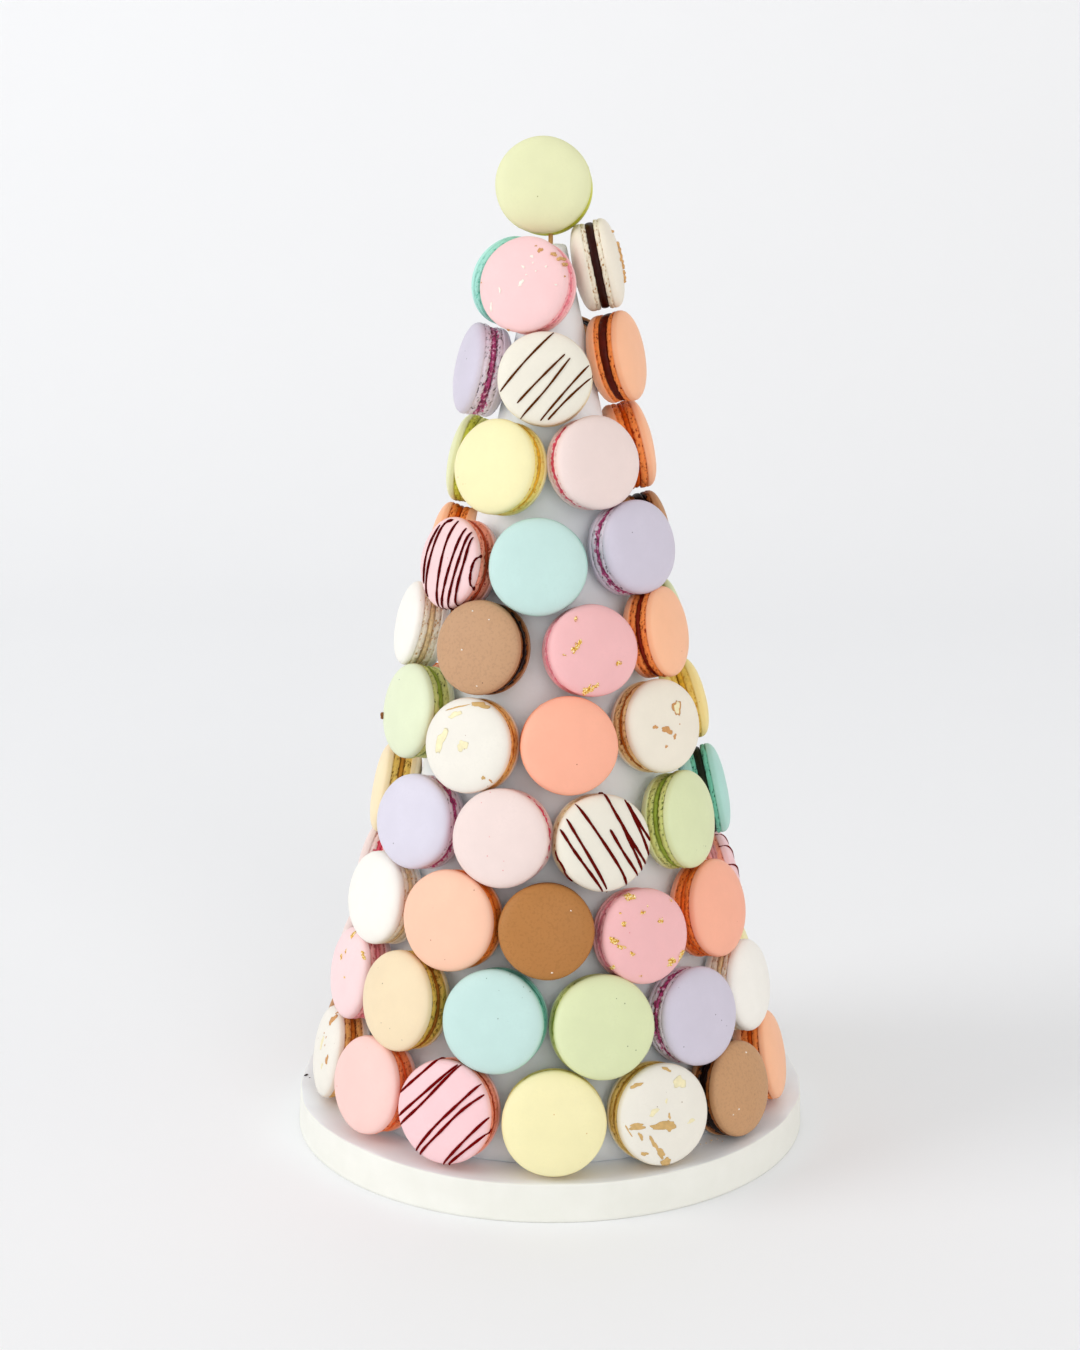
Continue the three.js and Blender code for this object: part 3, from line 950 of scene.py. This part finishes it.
def drizzle(half, line, thickness, seed):
    """A thin line of set chocolate that follows the shell."""
    random = np.random.default_rng(seed)
    path = smooth_path(line, DRIZZLE_STEPS)
    centres = np.array([half.on_shell(x, y, DRIZZLE_LIFT) for x, y in path])
    lifted = np.array([half.on_shell(x, y, DRIZZLE_LIFT + 1.0) for x, y in path])
    normals = unit(lifted - centres)
    along = unit(np.gradient(centres, axis=0))
    across = np.cross(along, normals)
    phases = random.uniform(0, DRIZZLE_PHASE_LIMIT, len(DRIZZLE_SWELLS))
    rings = []
    section = even_angles(DRIZZLE_SIDES)
    for number, centre in enumerate(centres):
        end = min(number, len(centres) - 1 - number)
        slow, quick = [
            swell * math.sin(number * pace + phase) for (swell, pace), phase in zip(DRIZZLE_SWELLS, phases)]
        width = thickness * (DRIZZLE_WIDTH + slow + quick)
        width *= DRIZZLE_ENDS[end] if end < len(DRIZZLE_ENDS) else 1.0
        rings.append(centre + outer(np.cos(section) * width / 2 * MM, -across[number])
                     + outer(np.sin(section) * width * DRIZZLE_HEIGHT * MM, normals[number]))
    tail = thickness * DRIZZLE_TAIL * MM
    return skin(rings, centres[0] - along[0] * tail, centres[-1] + along[-1] * tail)


def flake(half, place, seed, thickness, crumple):
    """A crumpled fleck on the shell, with an uneven outline."""
    x, y, length, width, turn = place
    random = np.random.default_rng(seed)
    angles = even_angles(FLAKE_SIDES)
    phases = random.uniform(0, 2 * math.pi, len(FLAKE_LOBES))
    lobes = [depth * np.cos(waves * angles + phase) for (depth, waves), phase in zip(FLAKE_LOBES, phases)]
    outline = 1 + sum(lobes)
    turn = math.radians(turn)
    ax, ay = math.cos(turn), math.sin(turn)
    rings = []
    for share, lift in FLAKE_SECTION:
        ring = []
        for angle, reach in zip(angles, outline):
            a = length / 2 * MM / half.radius * share * reach * math.cos(angle)
            b = width / 2 * MM / half.radius * share * reach * math.sin(angle)
            spot = Vector((a * CRUMPLE_WAVES + seed, b * CRUMPLE_WAVES, CRUMPLE_LEVEL))
            fold = crumple * noise.noise(spot) if lift > 0 else 0
            ring.append(half.on_shell(x + a * ax - b * ay, y + a * ay + b * ax, thickness * lift + fold))
        rings.append(np.array(ring))
    return skin(rings, half.on_shell(x, y, thickness + crumple * 0.5), half.on_shell(x, y, FLAKE_ROOT))


def grains(name, places, floor, height, material, slot):
    """Small rounded grains on a level surface."""
    random = np.random.default_rng(len(name))
    angles = even_angles(GRAIN_SIDES)
    bits = []
    for x, y, length, width in places:
        turn = random.uniform(0, math.pi)
        rough = 1 + random.uniform(-GRAIN_ROUGHNESS, GRAIN_ROUGHNESS, GRAIN_SIDES)
        along = np.array([math.cos(turn), math.sin(turn), 0.0]) * length / 2 * MM
        across = np.array([-math.sin(turn), math.cos(turn), 0.0]) * width / 2 * MM
        centre = np.array([x, y, floor])
        rings = [centre + UP * height * width * level * MM
                 + outer(np.cos(angles) * rough * share, along)
                 + outer(np.sin(angles) * rough * share, across)
                 for share, level in GRAIN_SECTION]
        bits.append(skin(rings, centre + UP * height * width * MM, centre))
    piece(name, *join(bits), material, slot)


# Stand

def cake_board(radius, low, high):
    """A covered disc whose top edge is drawn in unevenly, and which of its points are on top."""
    circle = unit_circle(BOARD_SIDES)
    wave = noise_round(circle, BOARD_WAVES, BOARD_SEEDS[0])
    ripple = noise_round(circle, BOARD_RIPPLES, BOARD_SEEDS[1])
    even, slow, quick = BOARD_DRAWN
    drawn = (even + slow * wave + quick * ripple).clip(BOARD_LEAST_DRAWN) * MM
    even, quick = BOARD_SUNK
    sunk = (even + quick * ripple).clip(0) * MM
    rings = [circle * radius * share + UP * high for share in BOARD_LEVEL_RINGS]
    dip = high - BOARD_DIP * MM
    rings.append(circle * (radius - BOARD_EVEN * MM) + UP * dip)
    edge = radius - drawn
    rings.append(circle * (edge - BOARD_TURN * MM)[:, None] + outer(dip - 0.5 * sunk, UP))
    for out, down in BOARD_EDGE:
        rings.append(circle * (edge - out * MM)[:, None] + outer(high - down * MM - sunk, UP))
    edge_down = BOARD_EDGE[-1][1]
    for share in BOARD_SIDE_SHARES:
        reach = edge + drawn * share
        level = high - edge_down * MM - sunk - (high - low - BOARD_HEM * MM) * share
        rings.append(circle * reach[:, None] + outer(level, UP))
    foot_in, foot_up = BOARD_FOOT
    rings.append(circle * radius + UP * (low + foot_up * MM))
    rings += [circle * reach + UP * low for reach in (radius - foot_in * MM, radius * BOARD_UNDER_RING)]
    points, faces = skin(rings, UP * high, UP * low)
    on_top = 1 + BOARD_TOP_RINGS * BOARD_SIDES
    return points, faces, [1.0] * on_top + [0.0] * (len(points) - on_top)


def board_material_with_painted_top_shade():
    """Cream paper round the side and a whiter, cooler top; the top's cooler tint is painted shade."""
    nodes = Nodes("board_cover", 0.5, 0.3)
    mottle = nodes.noise(60, 4.0)
    side = nodes.mix(nodes.ramp(mottle), linear("ebebe3"), linear("f0f0e9"))
    # Painted shade: the top takes a cooler tint than the side, for the shade that falls on it
    top = nodes.mix(nodes.ramp(mottle), linear("edeff2"), linear("f2f4f6"))
    nodes.colour(nodes.mix(nodes.attribute("top"), side, top))
    nodes.bump(mottle, 0.3, 0.0004)
    return nodes.material


def turned_in(low, high, outline, sides):
    """An outline turned about the upright axis through the middle of a box."""
    points, faces = turned(outline, sides)
    points[:, 0] += (low.x + high.x) / 2
    points[:, 1] += (low.y + high.y) / 2
    return points, faces


def cone_outline(low, high, base, tip):
    """The side of the cone, with a softened edge at its tip and its foot."""
    outline = [(0, high)]
    outline += [(tip - inward * MM, high - down * MM) for inward, down in CONE_TIP]
    shoulder = high - CONE_SHOULDER * MM
    for step in range(CONE_STEPS + 1):
        share = step / CONE_STEPS
        drop = (shoulder - low - CONE_FOOT_UP * MM) * share
        outline.append((tip + (base - tip) * share, shoulder - drop))
    return outline + [(base - CONE_FOOT_IN * MM, low), (0, low)]


# Sub-parts, each read from its CAD node and put in place of it

shell_look = cache(shell_material)
filling_look = cache(filling_material)


def add_macaron(macaron):
    """Both shells as one piece, and the filling between them as another."""
    flavour = Flavour(*FLAVOURS[macaron.flavour])._replace(**CHANGES.get(macaron.name, {}))
    inner = FILLING_HALF[flavour.filling]
    front, back = [shell(Half(macaron, side), inner) for side in (1, -1)]
    points, faces = join([front[:2], back[:2]])
    marks = [(key, front[at] + back[at]) for at, key in enumerate(("foot", "pit", "stain"), 2)]
    slot = f"shell_{flavour.finish}"
    piece(f"{macaron.name}_shells", points, faces, shell_look(flavour), slot, [macaron.node], marks)
    look = filling_look(flavour.filling, flavour.inside)
    slot = f"filling_{flavour.filling}"
    piece(f"{macaron.name}_filling", *filling(macaron, inner), look, slot, [macaron.node])


def add_drizzle(name, group):
    """All the chocolate lines of one shell."""
    width, code = DRIZZLE_LOOK[name]
    half = Half(by_name[name], 1)
    lines = [drizzle(half, line, width, DRIZZLE_SEED + number) for number, line in enumerate(group)]
    look = plain_material("drizzle", code, 0.5, 300, 0.0002, darkest=0.8, specular=0.02)
    piece(f"{name}_drizzle", *join(lines), look, "drizzle")


def flakes(name, table, thickness, crumple, material, slot="gold_leaf", smooth=True):
    """One piece of all the flecks of a kind."""
    bits = []
    for shell_name, group in table.items():
        half = Half(by_name[shell_name], 1)
        for number, place in enumerate(group):
            bits.append(flake(half, place, FLAKE_SEED + FLAKE_SEED_STEP * number, thickness, crumple))
    body = piece(name, *join(bits), material, slot)
    if not smooth:
        body.data.polygons.foreach_set("use_smooth", [False] * len(body.data.polygons))


def add_toppings():
    """Gold, blots, crumbs and sugar, each kind with its thickness and crumpling in millimetres."""
    flakes("gold_wash", GOLD_WASH, 0.06, 0.05, plain_material(
        "gold_wash", "dcb678", 0.5, 500, 0.0002, metallic=0.1, darkest=0.78, specular=0.15))
    flakes("pale_gold", PALE_GOLD, 0.12, 0.08, plain_material(
        "pale_gold", "f8eec4", 0.45, 400, 0.0003, metallic=0.05, darkest=0.86, specular=0.2))
    flakes("gold_leaf", GOLD_LEAF, 0.2, 0.9, leaf_material_with_painted_glints(), smooth=False)
    flakes("amber", AMBER, 0.05, 0.04, plain_material(
        "amber", "d69e64", 0.5, 700, 0.0002, darkest=0.82, specular=0.15))
    flakes("gold_crumbs", GOLD_CRUMBS, 0.9, 0.5, plain_material(
        "crumbs", "ecb878", 0.5, 900, 0.0005, darkest=0.6, specular=0.2))
    flakes("brown_crumbs", BROWN_CRUMBS, 1.3, 0.4, plain_material(
        "brown_crumb", "8a5426", 0.6, 900, 0.0004), "crumb")
    flakes("sugar", SUGAR, 0.25, 0.15, plain_material("sugar", "fdf6ea", 0.4, 900, 0.0003), "sugar")


def add_board():
    """The covered board and the grains on it."""
    low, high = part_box("board")
    radius = (high.x - low.x) / 2 - BOARD_MARGIN * MM
    points, faces, top = cake_board(radius, low.z, high.z)
    piece("cake_board", points, faces, board_material_with_painted_top_shade(), "board", ["board"], [("top", top)])
    grains("board_sugar", BOARD_SUGAR, high.z - SUGAR_SINK * MM, SUGAR_HEIGHT, plain_material(
        "board_sugar", "e8c8a0", 0.4, 900, 0.0003), "sugar")
    grains("board_crumbs", BOARD_CRUMBS, high.z - CRUMB_SINK * MM, CRUMB_HEIGHT, plain_material(
        "board_crumb", "2c2018", 0.6, 900, 0.0003), "crumb")


def add_cone():
    """The foam cone, as wide at its foot and its tip as its node."""
    low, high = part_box("cone")
    corners = np.array([v.co[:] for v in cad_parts["cone"].data.vertices])
    reach = np.hypot(corners[:, 0] - (low.x + high.x) / 2, corners[:, 1] - (low.y + high.y) / 2)
    tip = reach[corners[:, 2] > high.z - CONE_TIP_BAND * MM].max()
    outline = cone_outline(low.z, high.z, reach.max(), tip)
    piece("foam_cone", *turned_in(low, high, outline, CONE_SIDES), foam_material(), "cone", ["cone"])


def add_pick():
    """The wooden pick, pointed at both ends."""
    low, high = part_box("pick")
    radius = (high.x - low.x) / 2
    point = PICK_POINT * MM
    outline = [(0, high.z), (radius, high.z - point), (radius, low.z + point), (0, low.z)]
    piece("wooden_pick", *turned_in(low, high, outline, PICK_SIDES), wood_material(), "pick", ["pick"])


# Floor, light and camera

def add_floor():
    """A pale floor that curves up into a backdrop."""
    outline = [(FLOOR_FRONT, 0.0), (FLOOR_BEND, 0.0)]
    outline += [(FLOOR_BEND + BEND_RADIUS * math.sin(a), BEND_RADIUS - BEND_RADIUS * math.cos(a))
                for a in np.linspace(BEND_START, math.pi / 2, BEND_STEPS)]
    outline += [(FLOOR_BEND + BEND_RADIUS, WALL_TOP)]
    points = [(x, y, z) for y, z in outline for x in (-FLOOR_HALF_WIDTH, FLOOR_HALF_WIDTH)]
    faces = [(2 * i, 2 * i + 1, 2 * i + 3, 2 * i + 2) for i in range(len(outline) - 1)]
    material = plain_material("floor", "f7f8fa", 0.8, 3, 0.0001, darkest=0.995, specular=0.1)
    floor = smooth_body("floor", points, faces, material)


def add_world():
    """Even white light from all round."""
    world = bpy.data.worlds.new("studio")
    world.use_nodes = True
    background = world.node_tree.nodes["Background"]
    background.inputs["Color"].default_value = (1.0, 1.0, 1.0, 1.0)
    background.inputs["Strength"].default_value = WORLD_STRENGTH
    bpy.context.scene.world = world


def add_lamp(name, lamp):
    """A round soft lamp that points at its target."""
    data = bpy.data.lights.new(name, "AREA")
    data.shape = "DISK"
    data.size = lamp.size
    data.energy = lamp.power
    data.color = lamp.colour
    light = bpy.data.objects.new(name, data)
    light.location = lamp.place
    aim = Vector(lamp.target) - Vector(lamp.place)
    light.rotation_euler = aim.to_track_quat("-Z", "Y").to_euler()
    bpy.context.scene.collection.objects.link(light)


def add_camera():
    """In front of the tower, looking a little down."""
    lens = bpy.data.cameras.new("camera")
    lens.sensor_fit = "VERTICAL"
    lens.sensor_height = CAMERA_SENSOR
    lens.lens = CAMERA_LENS
    camera = bpy.data.objects.new("camera", lens)
    camera.location = (0, -CAMERA_DISTANCE, CAMERA_HEIGHT)
    camera.rotation_euler = (math.radians(90 - CAMERA_PITCH), 0, math.radians(CAMERA_TURN))
    bpy.context.scene.collection.objects.link(camera)
    bpy.context.scene.camera = camera
    bpy.context.scene.view_settings.view_transform = "Standard"


# Build

macarons = find_macarons()
by_name = {macaron.name: macaron for macaron in macarons}
for macaron in macarons:
    add_macaron(macaron)
for name, group in DRIZZLES.items():
    add_drizzle(name, group)
add_toppings()
add_board()
add_cone()
add_pick()
add_floor()
add_world()
for name, lamp in LAMPS.items():
    add_lamp(name, lamp)
add_camera()
